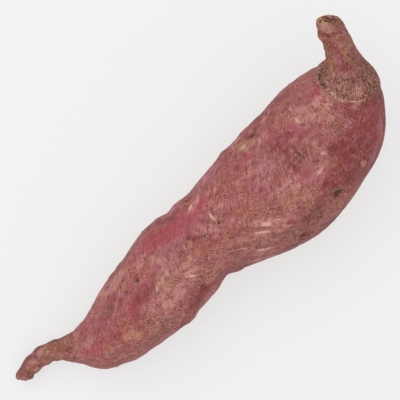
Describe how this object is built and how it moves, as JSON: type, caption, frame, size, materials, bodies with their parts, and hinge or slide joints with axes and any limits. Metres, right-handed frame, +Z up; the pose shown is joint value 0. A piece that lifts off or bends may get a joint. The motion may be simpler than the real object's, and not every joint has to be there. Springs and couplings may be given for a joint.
{
  "type": "sweet potato",
  "caption": "Long red-skinned sweet potato root in two swollen lobes, with a thin curved tail and a woody stem neck that turns up, lying on its belly.",
  "frame": {"origin": "on the table, under the middle of the root's box", "axes": "+X along the root from the thin tail towards the stem neck, +Z up, +Y to the side that the neck turns to"},
  "size_m": [0.2414, 0.0728, 0.0629],
  "materials": {
    "skin": "dry matt root skin, dusty rose red with tan scurf, corky scars and a brown collar at the neck"
  },
  "bodies": {
    "root": {"sweet_potato": "skin"}
  },
  "joints": []
}
